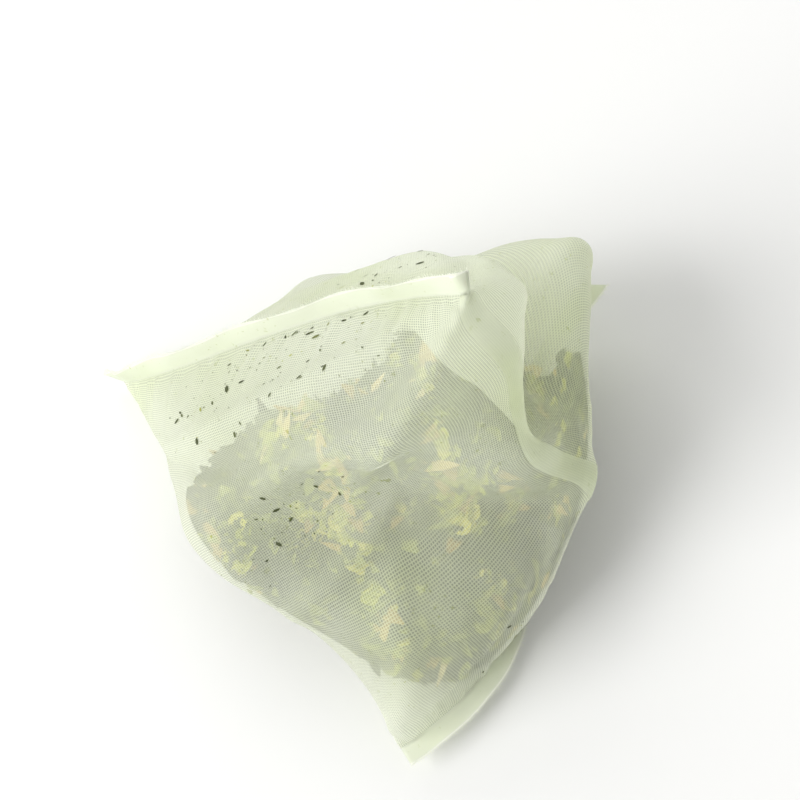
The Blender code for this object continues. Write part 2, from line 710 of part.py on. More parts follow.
def stem(name, spot, heading, size, material, parent):
    """Broken piece of stem: a slightly bent stick with a flattened underside."""
    low = []
    high = []
    for s in np.linspace(-1, 1, 6):
        radius = STEM_RADIUS * size * (1.0 - 0.12 * s)
        low.append([])
        high.append([])
        for angle in (-75.0, -25.0, 25.0, 75.0):
            x = s * STEM_LENGTH / 2 * size
            y = radius * math.sin(math.radians(angle)) + 0.0006 * s * s
            lift = radius * math.cos(math.radians(angle))
            low[-1].append((x, y, radius * 0.9 - lift * 0.7))
            high[-1].append((x, y, radius * 0.9 + lift))
    return laid_piece(name, spot, heading, low, high, material, parent)


def principled(name, colour, roughness, alpha=1.0):
    """Plain material of one colour."""
    material = bpy.data.materials.new(name)
    material.use_nodes = True
    shader = material.node_tree.nodes["Principled BSDF"]
    shader.inputs["Base Color"].default_value = (*colour, 1.0)
    shader.inputs["Roughness"].default_value = roughness
    shader.inputs["Metallic"].default_value = 0.0
    shader.inputs["Alpha"].default_value = alpha
    return material


def tea_pieces(surface, parent):
    """Leaves and stems that lie loose on top of the heap."""
    green = principled("leaf_green", (0.085, 0.115, 0.035), 0.75)
    straw = principled("stem_straw", (0.55, 0.44, 0.13), 0.65)
    count = LEAF_COUNT + STEM_COUNT
    reach = 0.29 * (HEAP_LENGTH + HEAP_DEPTH) / 2
    stem_every = round(count / STEM_COUNT)
    leaves = 0
    stems = 0
    for index in range(count):
        spot = spiral_spot(index, count, reach)
        heading = 2.4 * index + 0.7 * math.sin(index)
        size = 0.88 + 0.12 * math.sin(1.7 * index)
        if index % stem_every == 1 and stems < STEM_COUNT:
            stems += 1
            stem(f"stem_{stems:02d}", spot, heading, size, straw, parent)
        else:
            leaves += 1
            leaf(f"leaf_{leaves:02d}", spot, heading, size, green, parent)


def clear_scene():
    """Remove whatever the file opened with."""
    for obj in list(bpy.data.objects):
        bpy.data.objects.remove(obj, do_unlink=True)


def build():
    """Build the bag and its tea, centred over the middle of the net's outline."""
    clear_scene()
    surface = soft_surface()
    points, faces = net_mesh(surface)
    spread = np.array(points)
    centre = (spread.min(axis=0) + spread.max(axis=0)) / 2
    frame = bpy.data.objects.new("tea_bag_frame", None)
    bpy.context.scene.collection.objects.link(frame)
    frame.location = (-centre[0], -centre[1], 0.0)

    net = principled("net_pale", (0.80, 0.84, 0.70), 0.55, alpha=0.55)
    tea = principled("tea_green", (0.14, 0.16, 0.06), 0.85)
    finish("net_bag", points, faces, net, frame)
    tea_heap(surface, tea, frame)
    tea_pieces(surface, frame)


build()
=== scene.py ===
"""Looks of a pyramid tea bag: soft woven net with welded ends, and the loose tea that shows through.

The net is one rectangular sheet. A place on it is (u, v): u runs once round the bag from 0 to 1, and
v runs from the front weld, 0, to the ridge weld, 1. Its shape starts from the same folds and welds
as the solid bag and is then let slack towards the sheet's true cut size, so it dents and curls.
"""
import math

import bpy
import numpy as np
from mathutils import Matrix, Vector
from mathutils.bvhtree import BVHTree


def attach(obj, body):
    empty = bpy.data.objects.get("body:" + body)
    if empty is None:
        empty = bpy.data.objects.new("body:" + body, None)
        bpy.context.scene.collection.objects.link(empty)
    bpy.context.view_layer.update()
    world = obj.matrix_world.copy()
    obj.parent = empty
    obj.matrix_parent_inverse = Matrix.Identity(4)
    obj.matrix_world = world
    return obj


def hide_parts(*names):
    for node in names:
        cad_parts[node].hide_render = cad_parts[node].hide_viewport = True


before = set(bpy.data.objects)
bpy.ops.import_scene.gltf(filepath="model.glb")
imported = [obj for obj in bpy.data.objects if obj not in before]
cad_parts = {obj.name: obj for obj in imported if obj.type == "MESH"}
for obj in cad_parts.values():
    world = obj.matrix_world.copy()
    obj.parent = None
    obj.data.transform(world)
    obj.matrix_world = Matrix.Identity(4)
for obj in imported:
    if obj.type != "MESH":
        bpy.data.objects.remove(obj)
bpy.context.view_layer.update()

# Sizes of the real bag, in metres, the same as on the solid bag
SEAL_LENGTH = 0.070
TUBE_HEIGHT = 0.061
SEAL_WIDTH = 0.0025
LAP_WIDTH = 0.003
NET_THICKNESS = 0.0002
PRESS_DEPTH = 0.0004
HEAP_HEIGHT = 0.0130
HEAP_LENGTH = 0.056
HEAP_DEPTH = 0.052
LAYER_GAP = 0.0024
DRAPE_GAP = 0.0022
GIRTH = 2 * SEAL_LENGTH
THREAD_PITCH = 0.00027
NET_LAYER = 0.00013
BAG_CENTRE = np.array((-0.00017, 0.02307, 0.0004))   # middle of the outline, from the front weld

# Where the four corners lie once the bag has slumped, along X and Y from the middle of the
# front weld, as shares of the seal length, the tube height and the tube height
SIZES = np.array((SEAL_LENGTH, TUBE_HEIGHT, TUBE_HEIGHT))
LEFT_CORNER = SIZES * (-0.443, -0.049, 0.055)
RIGHT_CORNER = SIZES * (0.443, 0.066, 0.125)
REAR_CORNER = SIZES * (-0.043, 0.910, 0.020)
APEX = SIZES * (0.115, 0.040, 0.690)
TEA_MIDDLE = SIZES * (-0.008, 0.235, 0.0)

# How far each weld and fold is bowed off the straight line, and bent into an S, as shares of
# the tube height
FRONT_WELD = TUBE_HEIGHT * np.array(((0.0, -0.016, -0.066), (0.0, -0.082, 0.016)))
RIDGE_WELD = TUBE_HEIGHT * np.array(((-0.049, 0.033, 0.049), (-0.049, 0.016, 0.016)))
LEFT_FOLD = TUBE_HEIGHT * np.array(((0.0, -0.066, 0.066), (0.0, -0.016, 0.0)))
RIGHT_FOLD = TUBE_HEIGHT * np.array(((0.016, -0.049, 0.049), (0.016, 0.0, 0.016)))
FRONT_RIGHT_FOLD = TUBE_HEIGHT * np.array(((0.082, -0.016, 0.066), (0.033, 0.0, -0.016)))
FRONT_LEFT_FOLD = TUBE_HEIGHT * np.array(((-0.066, 0.0, 0.082), (0.0, -0.016, -0.033)))

# How far the middle of each panel is pushed off its edges by the tea and by the net's own
# spring, as shares of the tube height
BASE_SWELL = TUBE_HEIGHT * np.array((0.0, 0.0, -0.195))
FRONT_SWELL = TUBE_HEIGHT * np.array((0.016, -0.180, 0.033))
RIGHT_SWELL = TUBE_HEIGHT * np.array((0.115, 0.066, 0.0))
LEFT_SWELL = TUBE_HEIGHT * np.array((-0.131, 0.066, 0.016))

# How the slack net falls: the share of its flat lengths that it takes up, how far it falls and
# is drawn in at each step, and the reach of each corner's stiff tip
SLACK = 1.0
FALL_STEP = TUBE_HEIGHT / 20000
DRAW_STEP = TUBE_HEIGHT / 30000
SPEED_KEPT = 0.96
SPEED_TAKEN = 0.98
BIAS_STIFFNESS = 0.4      # of the diagonals, against 1 along the threads
BEND_STIFFNESS = 0.32
STIFF_TIP = TUBE_HEIGHT * 0.115
TIP_FADE = TUBE_HEIGHT * 0.213
WELD_GUARD = TUBE_HEIGHT * 0.10
WELD_FADE = TUBE_HEIGHT * 0.30
CORNER_GUARD = TUBE_HEIGHT * 0.25
CORNER_FADE = TUBE_HEIGHT * 0.30

SLACK_COLUMNS = 112
SLACK_ROWS = 50
FALL_STEPS = 140
LENGTH_PASSES = 12
START_PASSES = 14
SOFTENING_PASSES = 90
FINE_COLUMNS = 288
FINE_ROWS = 48


# The net's shape

def unit(vectors):
    """Vectors scaled to length one."""
    return vectors / np.maximum(np.linalg.norm(vectors, axis=-1, keepdims=True), 1e-12)


def bowed(start, end, shape, t):
    """Line from start to end, bowed aside by a parabola and bent into an S by a sine."""
    bow, sway = shape
    t = np.asarray(t)[..., None]
    return start + (end - start) * t + 4 * t * (1 - t) * bow + np.sin(2 * math.pi * t) * sway


def panel(left_edge, right_edge, weld, t, width, swell):
    """Panel between two folds, closed by a weld at its wide end and by a corner at the other."""
    across = t[..., None]
    wide = width[..., None]
    chord = bowed(weld[0], weld[1], (0.0, 0.0), t)
    edge = bowed(weld[0], weld[1], weld[2], t)
    flat = left_edge * (1 - across) + right_edge * across
    bubble = 27 * wide * across * wide * (1 - across) * (1 - wide)
    return flat + wide ** 2 * (edge - chord) + bubble * swell


def reversed_weld(start, end, shape):
    """The same weld line, walked from its other end."""
    return end, start, (shape[0], -shape[1])


def share(value, whole):
    """Value as a share of whole, a half where whole vanishes at a corner."""
    small = whole < 1e-9
    return np.where(small, 0.5, value / np.where(small, 1.0, whole))


def on_base(u, v):
    """Whether a place on the net is on the panel that the bag lies on."""
    return (u >= 0.25 * v) & (u <= 0.5 - 0.25 * v)


def creased_surface(u, v):
    """Points of the folded tube, four panels that meet in sharp folds."""
    left = bowed(LEFT_CORNER, REAR_CORNER, LEFT_FOLD, v)
    right = bowed(RIGHT_CORNER, REAR_CORNER, RIGHT_FOLD, v)
    front_right = bowed(RIGHT_CORNER, APEX, FRONT_RIGHT_FOLD, v)
    front_left = bowed(LEFT_CORNER, APEX, FRONT_LEFT_FOLD, v)
    front_weld = (LEFT_CORNER, RIGHT_CORNER, FRONT_WELD)
    ridge_weld = (REAR_CORNER, APEX, RIDGE_WELD)

    low = 0.5 * (1 - v)
    high = 0.5 * v
    t_base = share(u - 0.25 * v, low)
    t_front = share(u - 0.5 - 0.25 * v, low)
    t_right = share(u - 0.5 + 0.25 * v, high)
    t_left = share((u + 0.25 * v) % 1.0, high)

    base = panel(left, right, front_weld, t_base, 1 - v, BASE_SWELL)
    front = panel(front_right, front_left, reversed_weld(*front_weld), t_front, 1 - v, FRONT_SWELL)
    side = panel(right, front_right, ridge_weld, t_right, v, RIGHT_SWELL)
    other = panel(front_left, left, reversed_weld(*ridge_weld), t_left, v, LEFT_SWELL)

    on_front = (u >= 0.5 + 0.25 * v) & (u <= 1 - 0.25 * v)
    on_side = (u > 0.5 - 0.25 * v) & (u < 0.5 + 0.25 * v)
    points = np.where(on_side[..., None], side, other)
    points = np.where(on_front[..., None], front, points)
    return np.where(on_base(u, v)[..., None], base, points)


def rounded_tube():
    """The tube with its folds rounded off, sharp only at the welds, and flat below."""
    u, v = np.meshgrid(np.arange(SLACK_COLUMNS) / SLACK_COLUMNS, np.arange(SLACK_ROWS + 1) / SLACK_ROWS)
    points = creased_surface(u, v)
    free = (4 * v * (1 - v))[..., None] ** 1.6
    for _ in range(START_PASSES):
        beside = (np.roll(points, 1, axis=1) + np.roll(points, -1, axis=1)) / 2
        points = points + 0.5 * free * (beside - points)
    points[..., 2] = np.maximum(points[..., 2], NET_THICKNESS + PRESS_DEPTH)
    return points


def pull(points, column_step, next_row, rest, stiffness):
    """Move each point and one neighbour towards their rest length, every other pair at a time."""
    for first in (0, 1):
        near = points[:-1] if next_row else points
        far = np.roll(points, -column_step, axis=1)
        far = far[1:] if next_row else far
        edge = far - near
        length = np.linalg.norm(edge, axis=-1)
        move = (0.5 * stiffness * (length - rest) / np.maximum(length, 1e-9))[..., None] * edge
        if next_row:
            move[1 - first::2] = 0
            points[:-1] += move
            points[1:] -= np.roll(move, column_step, axis=1)
        else:
            move[:, 1 - first::2] = 0
            points += move
            points -= np.roll(move, column_step, axis=1)


def stiffened(points, amount):
    """Points drawn to a smooth curve, first round the tube and then along it."""
    bend = (np.roll(points, 1, axis=1) + np.roll(points, -1, axis=1)) / 2 - points
    points = points - amount * ((np.roll(bend, 1, axis=1) + np.roll(bend, -1, axis=1)) / 2 - bend)
    bend = np.zeros_like(points)
    bend[1:-1] = (points[2:] + points[:-2]) / 2 - points[1:-1]
    points[1:-1] -= amount * ((bend[2:] + bend[:-2]) / 2 - bend[1:-1])
    return points


def keep_apart(points, order, side, gap):
    """Push each point and the one that lay across the bag from it apart, where they come too near."""
    short = gap - ((points[:, order] - points) * side).sum(axis=-1)
    points -= 0.5 * np.maximum(short, 0)[..., None] * side


def facing(start, order):
    """Way from each point to the one across the bag from it, and the least gap between them."""
    across = start[:, order] - start
    gap = np.minimum(0.8 * np.linalg.norm(across, axis=-1), LAYER_GAP)
    return order, unit(across), gap


def from_corner(u, v):
    """Distance along the sheet to the nearest corner of the bag."""
    corners = ((0.0, 0.0), (0.5, 0.0), (0.25, 1.0), (0.75, 1.0))
    away = [np.hypot(GIRTH * (np.abs((u - a + 0.5) % 1.0 - 0.5)), TUBE_HEIGHT * (v - b)) for a, b in corners]
    return np.min(away, axis=0)


def rest_lengths(start):
    """Lengths to the next column, the next row and both diagonals of the net as it hangs slack.

    Near the corners and on the base they stay as in the start shape, elsewhere they grow to those
    of the flat sheet.
    """
    u, v = np.meshgrid(np.arange(SLACK_COLUMNS) / SLACK_COLUMNS, np.arange(SLACK_ROWS + 1) / SLACK_ROWS)
    loose = SLACK * np.clip((from_corner(u, v) - STIFF_TIP) / TIP_FADE, 0, 1)
    loose = np.where(on_base(u, v), 0.0, loose)
    flat_column = GIRTH / SLACK_COLUMNS
    flat_row = TUBE_HEIGHT / SLACK_ROWS
    flat_diagonal = math.hypot(flat_column, flat_row)
    lengths = []
    for column_step, next_row, flat in ((1, False, flat_column), (0, True, flat_row),
                                        (1, True, flat_diagonal), (-1, True, flat_diagonal)):
        far = np.roll(start, -column_step, axis=1)
        near = start[:-1] if next_row else start
        far = far[1:] if next_row else far
        part = loose[1:] if next_row else loose
        length = np.linalg.norm(far - near, axis=-1)
        lengths.append(length + part * (flat - length))
    return lengths


def slackened(start):
    """The net let out to its cut size between fixed welds, until it falls on the tea and creases."""
    points = start.copy()
    speed = np.zeros_like(points)
    around, along, diagonal, other_diagonal = rest_lengths(start)
    u, v = np.meshgrid(np.arange(SLACK_COLUMNS) / SLACK_COLUMNS, np.arange(SLACK_ROWS + 1) / SLACK_ROWS)
    below = on_base(u, v)
    floor = NET_THICKNESS + PRESS_DEPTH
    column = np.arange(SLACK_COLUMNS)
    welds = [facing(start, (-column) % SLACK_COLUMNS),
             facing(start, (SLACK_COLUMNS // 2 - column) % SLACK_COLUMNS)]
    for _ in range(FALL_STEPS):
        before = points.copy()
        points = points + SPEED_KEPT * speed
        points[..., 2] -= FALL_STEP
        across = np.roll(points, -1, axis=1) - np.roll(points, 1, axis=1)
        points = points - DRAW_STEP * unit(np.cross(np.gradient(points, axis=0), across))
        for turn in range(LENGTH_PASSES):
            pull(points, 1, False, around, 1.0)
            pull(points, 0, True, along, 1.0)
            pull(points, 1, True, diagonal, BIAS_STIFFNESS)
            pull(points, -1, True, other_diagonal, BIAS_STIFFNESS)
            if turn % 3 == 0:
                points = stiffened(points, BEND_STIFFNESS)
            for order, side, gap in welds:
                keep_apart(points, order, side, gap)
            points[0] = start[0]
            points[-1] = start[-1]
            cover = np.where(below, floor, tea_cover(points[..., 0], points[..., 1]))
            points[..., 2] = np.maximum(points[..., 2], np.maximum(cover, floor))
        speed = SPEED_TAKEN * (points - before)
    return points


def softened_tube(u, v):
    """The creased tube with its folds averaged away, more in the middle than at the welds."""
    points = creased_surface(u, v)
    free = (4 * v * (1 - v))[..., None] ** 1.6
    for _ in range(SOFTENING_PASSES):
        beside = (np.roll(points, 1, axis=1) + np.roll(points, -1, axis=1)) / 2
        points = points + 0.5 * free * (beside - points)
        along = (points[:-2] + points[2:]) / 2
        points[1:-1] += 0.15 * free[1:-1] * (along - points[1:-1])
    return points


def four_weights(f):
    """Weights of four neighbours for a smooth curve, a fraction f between the middle two."""
    return (((-0.5 * f + 1.0) * f - 0.5) * f, (1.5 * f - 2.5) * f * f + 1.0,
            ((-1.5 * f + 2.0) * f + 0.5) * f, (0.5 * f - 0.5) * f * f)


def smooth_read(grid, u, v):
    """Points on the smooth surface through a grid that closes round u and ends at v = 0 and 1."""
    rows, columns = grid.shape[:2]
    column = u * columns
    row = v * (rows - 1)
    i = np.floor(column).astype(int)
    j = np.minimum(np.floor(row).astype(int), rows - 2)
    across = four_weights((column - i)[..., None])
    down = four_weights((row - j)[..., None])
    total = 0.0
    for a in range(4):
        picked = np.clip(j + a - 1, 0, rows - 1)
        total = total + down[a] * sum(across[b] * grid[picked, (i + b - 1) % columns] for b in range(4))
    return total


def heap_height(x, y):
    """Height of the loose tea at a place: a low dome with small lumps, below zero past its rim."""
    dx = (x - TEA_MIDDLE[0]) / (HEAP_LENGTH / 2)
    dy = (y - TEA_MIDDLE[1]) / (HEAP_DEPTH / 2)
    dome = 1 - dx ** 2 - dy ** 2
    lumps = 0.06 * np.sin(7 * dx + 1.3) * np.cos(6 * dy) + 0.04 * np.sin(11 * dy - 5 * dx)
    return HEAP_HEIGHT * (dome * (1 + 0.35 * (1 - dome)) + lumps * np.clip(dome, 0, 1))


def tea_cover(x, y):
    """Lowest height of the upper net over the tea, faded out towards the heap's rim."""
    dx = (x - TEA_MIDDLE[0]) / (HEAP_LENGTH / 2)
    dy = (y - TEA_MIDDLE[1]) / (HEAP_DEPTH / 2)
    inner = np.clip(4 * (1 - np.hypot(dx, dy)), 0, 1)
    return (heap_height(x, y) + DRAPE_GAP) * inner


def soft_surface():
    """The softened tube, moved as the slack net falls, apart from the welds and corners."""
    u, v = np.meshgrid(np.arange(FINE_COLUMNS) / FINE_COLUMNS, np.arange(FINE_ROWS + 1) / FINE_ROWS)
    start = rounded_tube()
    away = TUBE_HEIGHT * np.minimum(v, 1 - v)
    follow = np.clip((away - WELD_GUARD) / WELD_FADE, 0, 1)
    follow *= np.clip((from_corner(u, v) - CORNER_GUARD) / CORNER_FADE, 0, 1)
    follow = (follow * follow * (3 - 2 * follow))[..., None]
    points = softened_tube(u, v) + follow * smooth_read(slackened(start) - start, u, v)
    points[..., 2] = np.maximum(points[..., 2], NET_THICKNESS + PRESS_DEPTH)
    return points


net_grid = soft_surface()


def read(grid, u, v):
    """Places on the net's middle surface for any u and for v from 0 to 1."""
    return smooth_read(grid, np.asarray(u) % 1.0, np.clip(v, 0.0, 1.0))


def weld_frame(grid, u, ridge):
    """At places along a weld: its point, the way out of the bag, and the side of this layer."""
    edge = 1.0 if ridge else 0.0
    inward = -1.0 if ridge else 1.0
    fold = 0.5 if ridge else 0.0
    here = read(grid, u, np.full_like(u, edge))
    partner = (fold - u) % 1.0

    def layer_ways(place):
        inner = read(grid, place, np.full_like(place, edge + inward * 0.012))
        ahead = read(grid, place + 0.004, np.full_like(place, edge))
        back = read(grid, place - 0.004, np.full_like(place, edge))
        toward = unit(inner - read(grid, place, np.full_like(place, edge)))
        tangent = unit(ahead - back)
        normal = unit(np.cross(inward * toward, tangent))
        return toward, tangent, normal

    toward, tangent, normal = layer_ways(u)
    toward_other, _, normal_other = layer_ways(partner)
    out = normal + normal_other - toward - toward_other
    out = unit(out - tangent * (out * tangent).sum(axis=-1, keepdims=True))
    out[..., 2] = np.maximum(out[..., 2], 0.06)
    out = unit(out)
    side = unit(np.cross(out, tangent))
    side *= np.sign((side * (normal - normal_other)).sum())
    return here, out, side


def around_from_lap(count):
    """u of each column of the cut sheet, from one edge of the lap right round to the other."""
    half = LAP_WIDTH / 2 / GIRTH
    return np.linspace(0.75 - half, 1.75 + half, count)


LAP_RISE = 0.007           # of the girth


def lap_lift(u):
    """How far the upper edge of the lap stands off the lower one: a smooth step r r (3 - 2 r)."""
    half = LAP_WIDTH / 2 / GIRTH
    rise = np.clip((u - (1.75 - half - LAP_RISE)) / LAP_RISE, 0, 1)
    return NET_LAYER * 1.3 * rise * rise * (3 - 2 * rise)


PUCKER_HEIGHT = 0.00022
PUCKER_REACH = 0.0045
PUCKER_START = 0.0012


def puckers(u, v):
    """Small waves beside each weld: two sines round the tube times exp(-distance / reach)."""
    waves = np.sin(2 * np.pi * u * 41 + 1.7 * np.sin(2 * np.pi * u * 7))
    finer = np.sin(2 * np.pi * u * 67 + 2.3 * np.sin(2 * np.pi * u * 5 + 1.0))
    near = [np.exp(-away / PUCKER_REACH) * np.clip(away / PUCKER_START, 0, 1)
            for away in (v * TUBE_HEIGHT, (1 - v) * TUBE_HEIGHT)]
    return PUCKER_HEIGHT * (near[0] + near[1]) * (waves + 0.6 * finer)


CREASE_SWAY = 0.0015
CREASES = (   # from (u, v) to (u, v), height and half width in metres
    (0.76, 0.96, 0.93, 0.45, 0.00128, 0.0020), (0.77, 0.96, 1.02, 0.60, -0.00144, 0.0023),
    (0.79, 0.97, 1.12, 0.78, 0.00112, 0.0018), (1.00, 0.04, 0.90, 0.42, 0.00128, 0.0020),
    (0.98, 0.03, 0.80, 0.25, -0.00128, 0.0025), (0.51, 0.04, 0.60, 0.42, 0.00128, 0.0020),
    (0.53, 0.03, 0.70, 0.22, -0.00128, 0.0024), (0.74, 0.95, 0.66, 0.50, 0.00112, 0.0018),
    (1.24, 0.96, 1.08, 0.50, 0.00112, 0.0021), (1.23, 0.95, 0.99, 0.70, -0.00096, 0.0020),
    (0.27, 0.95, 0.40, 0.60, 0.00112, 0.0020), (0.72, 0.95, 0.58, 0.68, -0.00112, 0.0021),
    (0.88, 0.50, 1.04, 0.36, 0.00096, 0.0016), (0.82, 0.10, 0.70, 0.36, 0.00096, 0.0018))


def creases(u, v):
    """Soft creases that run out from the corners.

    Each is a ridge over a line on the sheet, of height times exp(-(distance / width) squared), and
    fades to nothing at both of its ends.
    """
    height = 0.0
    for u0, v0, u1, v1, rise, width in CREASES:
        run = np.array(((u1 - u0) * GIRTH, (v1 - v0) * TUBE_HEIGHT))
        x = ((u - u0 + 0.5) % 1.0 - 0.5) * GIRTH
        y = (v - v0) * TUBE_HEIGHT
        t = np.clip((x * run[0] + y * run[1]) / (run @ run), 0, 1)
        away = np.hypot(x - t * run[0], y - t * run[1] + CREASE_SWAY * np.sin(5 * t))
        height = height + rise * np.exp(-(away / width) ** 2) * (4 * t * (1 - t)) ** 0.6
    return height


WAVE_HEIGHT = 0.00045


def soft_waves(u, v):
    """Broad shallow waves from packing: three slanting sines, faded by (4 v (1 - v)) ** 0.8."""
    a = np.sin(2 * np.pi * (3 * u + 1.4 * v) + 0.8)
    b = np.sin(2 * np.pi * (5 * u - 2.1 * v) + 2.1 * np.sin(2 * np.pi * (u + 0.3)))
    c = np.sin(2 * np.pi * (2 * u + 3.3 * v) + 1.1)
    return WAVE_HEIGHT * (a + 0.7 * b + 0.5 * c) * (4 * v * (1 - v)) ** 0.8


RIPPLE_HEIGHT = 0.00018    # of the welded borders, out of their plane
WELD_TURN = 0.0009         # length over which the net turns into its welded border


def net_places(u, v, lift=0.0):
    """Places on the finished net for any arrays (u, v), lift off it in metres, outward.

    Between the welds the place is the slack surface plus puckers, creases and waves along the normal.
    Beyond a weld it runs out along the welded border, this layer half a thickness to its side.
    """
    inside = np.clip(v, 0.0, 1.0)
    step = 0.002    # of the girth and of the height, either way, for the normal
    surface = read(net_grid, u, inside)
    across = read(net_grid, u + step, inside) - read(net_grid, u - step, inside)
    along = read(net_grid, u, np.minimum(inside + step, 1))
    along = along - read(net_grid, u, np.maximum(inside - step, 0))
    normal = unit(np.cross(along, across))
    stand = puckers(u % 1.0, inside) + soft_waves(u % 1.0, inside)
    stand = stand + creases(u, inside) + lap_lift(u) + lift
    places = surface + normal * stand[..., None]
    for ridge in (False, True):
        beyond = (v - 1) * TUBE_HEIGHT if ridge else -v * TUBE_HEIGHT
        here, out, side = weld_frame(net_grid, u, ridge)
        ripple = np.sin(2 * np.pi * u * 9 + 1.3) + 0.5 * np.sin(2 * np.pi * u * 21 + 0.4)
        fold = -1.0 if ridge else 1.0
        partner_ripple = np.sin(2 * np.pi * ((0.5 if ridge else 0.0) - u) * 9 + 1.3)
        wave = RIPPLE_HEIGHT * (ripple - partner_ripple) * np.clip(beyond / SEAL_WIDTH, 0, 1) ** 1.5 * fold
        border = here + out * np.maximum(beyond, 0)[..., None]
        border = border + side * (NET_LAYER / 2 + lap_lift(u) + lift + wave)[..., None]
        blend = np.clip(1 + beyond / WELD_TURN, 0, 1)[..., None]
        places = places * (1 - blend) + border * blend
    places[..., 2] = np.maximum(places[..., 2], BAG_CENTRE[2] + NET_LAYER / 2)
    return places


# Meshes

def make_piece(name, points, faces, material, uv=None, shade=None, smooth=True):
    """Mesh object from arrays of points and faces, with an optional UV and shade for each point."""
    mesh = bpy.data.meshes.new(name)
    faces = np.asarray(faces, dtype=np.int32)
    sides = faces.shape[1]
    mesh.vertices.add(len(points))
    mesh.vertices.foreach_set("co", (np.asarray(points) - BAG_CENTRE).astype(np.float32).ravel())
    mesh.loops.add(faces.size)
    mesh.loops.foreach_set("vertex_index", faces.ravel())
    mesh.polygons.add(len(faces))
    mesh.polygons.foreach_set("loop_start", np.arange(len(faces), dtype=np.int32) * sides)
    mesh.update(calc_edges=True)
    mesh.polygons.foreach_set("use_smooth", np.full(len(faces), smooth))
    if uv is not None:
        layer = mesh.uv_layers.new(name="sheet")
        layer.data.foreach_set("uv", np.asarray(uv, dtype=np.float32)[faces.ravel()].ravel())
    if shade is not None:
        tone = mesh.attributes.new("shade", "FLOAT", "POINT")
        tone.data.foreach_set("value", np.asarray(shade, dtype=np.float32))
    mesh.validate()
    mesh.materials.append(material)
    piece = bpy.data.objects.new(name, mesh)
    bpy.context.scene.collection.objects.link(piece)
    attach(piece, "root")
    return piece


def grid_faces(rows, columns, closed=False):
    """Quads of a grid of points, row by row, closed round the columns if asked."""
    j, i = np.meshgrid(np.arange(rows - 1), np.arange(columns - (0 if closed else 1)), indexing="ij")
    k = (i + 1) % columns
    return np.stack((j * columns + i, (j + 1) * columns + i, (j + 1) * columns + k, j * columns + k),
                    axis=-1).reshape(-1, 4)


def repeated_faces(faces, points_each, count):
    """The same faces for each of count shapes that follow each other in one mesh."""
    return (faces[None] + (np.arange(count) * points_each)[:, None, None]).reshape(-1, faces.shape[1])


# Shader words

class Wire:
    """A socket that can be added to, multiplied and limited in plain Python."""

    def __init__(self, paint, socket):
        self.paint = paint
        self.socket = socket

    def math(self, operation, a, b=0.0, c=0.0):
        return self.paint.node("ShaderNodeMath", {"operation": operation}, {0: a, 1: b, 2: c})

    def __add__(self, other):
        return self.math("ADD", self, other)

    def __radd__(self, other):
        return self.math("ADD", other, self)

    def __sub__(self, other):
        return self.math("SUBTRACT", self, other)

    def __rsub__(self, other):
        return self.math("SUBTRACT", other, self)

    def __mul__(self, other):
        return self.math("MULTIPLY", self, other)

    def __rmul__(self, other):
        return self.math("MULTIPLY", other, self)

    def __truediv__(self, other):
        return self.math("DIVIDE", self, other)

    def fraction(self):
        return self.math("FRACT", self)

    def size(self):
        return self.math("ABSOLUTE", self)

    def most(self, other):
        return self.math("MAXIMUM", self, other)

    def least(self, other):
        return self.math("MINIMUM", self, other)

    def ramp(self, low, high):
        """0 below low, 1 above high, and a smooth rise between them."""
        return self.paint.node("ShaderNodeMapRange", {"interpolation_type": "SMOOTHSTEP", "clamp": True},
                               {0: self, 1: low, 2: high, 3: 0.0, 4: 1.0})


class Paint:
    """A material's node tree."""

    def __init__(self, name):
        self.material = bpy.data.materials.new(name)
        self.material.use_nodes = True
        self.tree = self.material.node_tree
        self.tree.nodes.clear()
        self.out = self.tree.nodes.new("ShaderNodeOutputMaterial")

    def node(self, kind, settings=None, inputs=None, output=0):
        """Add a node: its settings first, then values or links for its sockets."""
        made = self.tree.nodes.new(kind)
        for key, value in (settings or {}).items():
            setattr(made, key, value)
        for key, value in (inputs or {}).items():
            socket = made.inputs[key]
            if isinstance(value, Wire):
                self.tree.links.new(value.socket, socket)
            else:
                socket.default_value = value
        return Wire(self, made.outputs[output])

    def noise(self, place, scale, detail=3.0, roughness=0.55):
        return self.node("ShaderNodeTexNoise", {}, {"Vector": place, "Scale": scale, "Detail": detail,
                                                    "Roughness": roughness})

    def mixed(self, amount, first, second):
        """Colour between first and second by amount."""
        made = self.tree.nodes.new("ShaderNodeMix")
        made.data_type = "RGBA"
        for socket, value in ((made.inputs[0], amount), (made.inputs[6], first), (made.inputs[7], second)):
            if isinstance(value, Wire):
                self.tree.links.new(value.socket, socket)
            else:
                socket.default_value = value if not isinstance(value, tuple) else (*value, 1.0)
        return Wire(self, made.outputs[2])

    def bump(self, height, strength, distance):
        return self.node("ShaderNodeBump", {}, {"Height": height, "Strength": strength, "Distance": distance})

    def finish(self, shader):
        self.tree.links.new(shader.socket, self.out.inputs[0])
        return self.material


